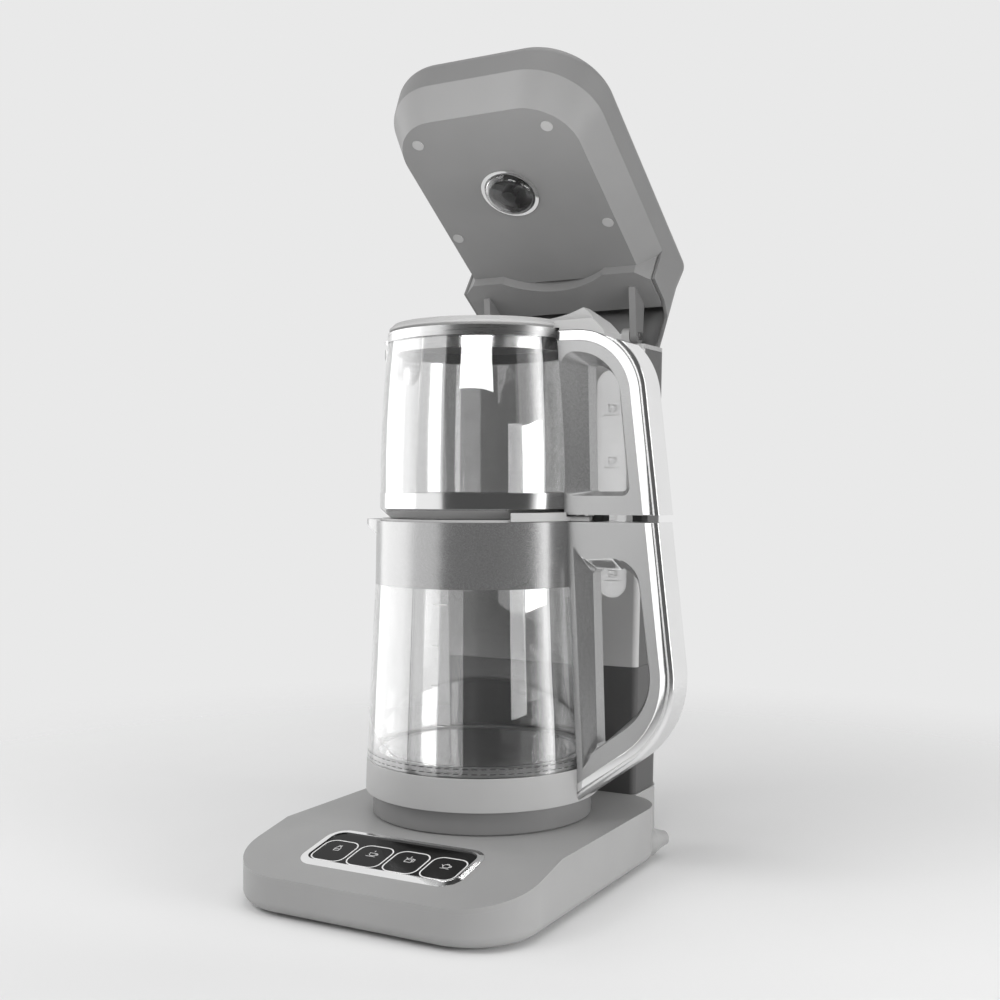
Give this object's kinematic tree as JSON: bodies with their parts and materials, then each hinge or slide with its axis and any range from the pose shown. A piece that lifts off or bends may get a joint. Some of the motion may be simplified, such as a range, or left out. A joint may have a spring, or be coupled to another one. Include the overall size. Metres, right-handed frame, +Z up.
{
  "type": "automatic tea maker",
  "caption": "Automatic tea maker: base with key panel, water tank column and opening brew head, glass kettle on a cordless socket with a glass teapot stacked on it.",
  "frame": {"origin": "on the kettle's axis at the level the feet stand on", "axes": "+Z up, -Y the front with the keys, +X the side with the handles"},
  "size_m": [0.2356, 0.3218, 0.53],
  "materials": {
    "grey_plastic": "fine grain",
    "rubber": "matte",
    "screw_steel": "plain",
    "bright_chrome": "polished",
    "black_fascia": "gloss",
    "board": "satin",
    "black_part": "matte",
    "copper": "polished",
    "silicone": "matte",
    "tank_plastic": "translucent",
    "window": "smoked",
    "light_plastic": "satin",
    "steel": "brushed",
    "clear_dome": "clear",
    "dark_plastic": "gloss",
    "clear_glass": "clear",
    "satin_chrome": "satin"
  },
  "bodies": {
    "base": {"base_lower_shell": "grey_plastic", "base_top_cover": "grey_plastic", "rubber_feet": "rubber", "base_screws": "screw_steel", "panel_frame": "bright_chrome", "panel_fascia": "black_fascia", "key_board": "board", "key_switches": "black_part", "power_board": "board", "base_socket": "black_part", "contact_rings": "copper", "cord_outlet": "grey_plastic", "pump": "black_part", "inlet_hose": "silicone", "riser_tube": "silicone", "water_tank": "tank_plastic", "column_lower_cover": "grey_plastic", "column_front_panel": "grey_plastic", "column_rear_shell": "grey_plastic", "column_top_frame": "grey_plastic", "level_window_left": "window", "level_window_right": "window", "hinge_pins": "screw_steel"},
    "head": {"head_top_cover": "grey_plastic", "head_tray": "grey_plastic", "head_screw_plugs": "light_plastic", "head_arms": "steel", "brew_dome": "clear_dome", "dome_ring": "bright_chrome", "brew_nozzle": "black_part", "head_hose": "silicone"},
    "kettle": {"kettle_foot_ring": "dark_plastic", "kettle_connector": "black_part", "kettle_lower_collar": "light_plastic", "kettle_glass": "clear_glass", "floor_gasket": "silicone", "kettle_floor_plate": "steel", "heating_element": "steel", "temperature_sensor": "black_part", "kettle_upper_collar": "light_plastic", "kettle_handle_frame": "grey_plastic", "kettle_handle_trim": "bright_chrome", "kettle_handle_back": "satin_chrome"},
    "kettle_lid": {"kettle_lid": "light_plastic", "kettle_lid_seal": "silicone"},
    "teapot": {"teapot_bottom_band": "steel", "teapot_glass": "clear_glass", "teapot_top_ring": "bright_chrome", "teapot_strainer": "steel", "teapot_handle_frame": "grey_plastic", "teapot_handle_trim": "bright_chrome", "teapot_handle_back": "satin_chrome", "handle_bumpers": "rubber"},
    "teapot_lid": {"teapot_lid": "grey_plastic", "teapot_lid_seal": "silicone"},
    "bottle_key": {"bottle_key": "black_fascia"},
    "cup_key": {"cup_key": "black_fascia"},
    "jug_key": {"jug_key": "black_fascia"},
    "teapot_key": {"teapot_key": "black_fascia"}
  },
  "joints": [
    {"name": "head_hinge", "type": "hinge", "parent": "base", "child": "head", "pos_m": [0, 0.119, 0.356], "axis": [-1, 0, 0], "range_deg": [-34.6, 0]},
    {"name": "kettle_lift", "type": "slide", "parent": "base", "child": "kettle", "axis": [0, 0, 1], "range_m": [0, 0.016]},
    {"name": "kettle_lid_lift", "type": "slide", "parent": "kettle", "child": "kettle_lid", "axis": [0, 0, 1], "range_m": [0, 0.014]},
    {"name": "teapot_lift", "type": "slide", "parent": "kettle_lid", "child": "teapot", "axis": [0, 0, 1], "range_m": [0, 0.014]},
    {"name": "teapot_lid_lift", "type": "slide", "parent": "teapot", "child": "teapot_lid", "axis": [0, 0, 1], "range_m": [0, 0.014]},
    {"name": "bottle_key_press", "type": "slide", "parent": "base", "child": "bottle_key", "axis": [0, 0.1977, -0.9803], "range_m": [0, 0.0006], "stiffness_N_per_m": 600, "springref_m": -0.0004},
    {"name": "cup_key_press", "type": "slide", "parent": "base", "child": "cup_key", "axis": [0, 0.1977, -0.9803], "range_m": [0, 0.0006], "stiffness_N_per_m": 600, "springref_m": -0.0004},
    {"name": "jug_key_press", "type": "slide", "parent": "base", "child": "jug_key", "axis": [0, 0.1977, -0.9803], "range_m": [0, 0.0006], "stiffness_N_per_m": 600, "springref_m": -0.0004},
    {"name": "teapot_key_press", "type": "slide", "parent": "base", "child": "teapot_key", "axis": [0, 0.1977, -0.9803], "range_m": [0, 0.0006], "stiffness_N_per_m": 600, "springref_m": -0.0004}
  ]
}
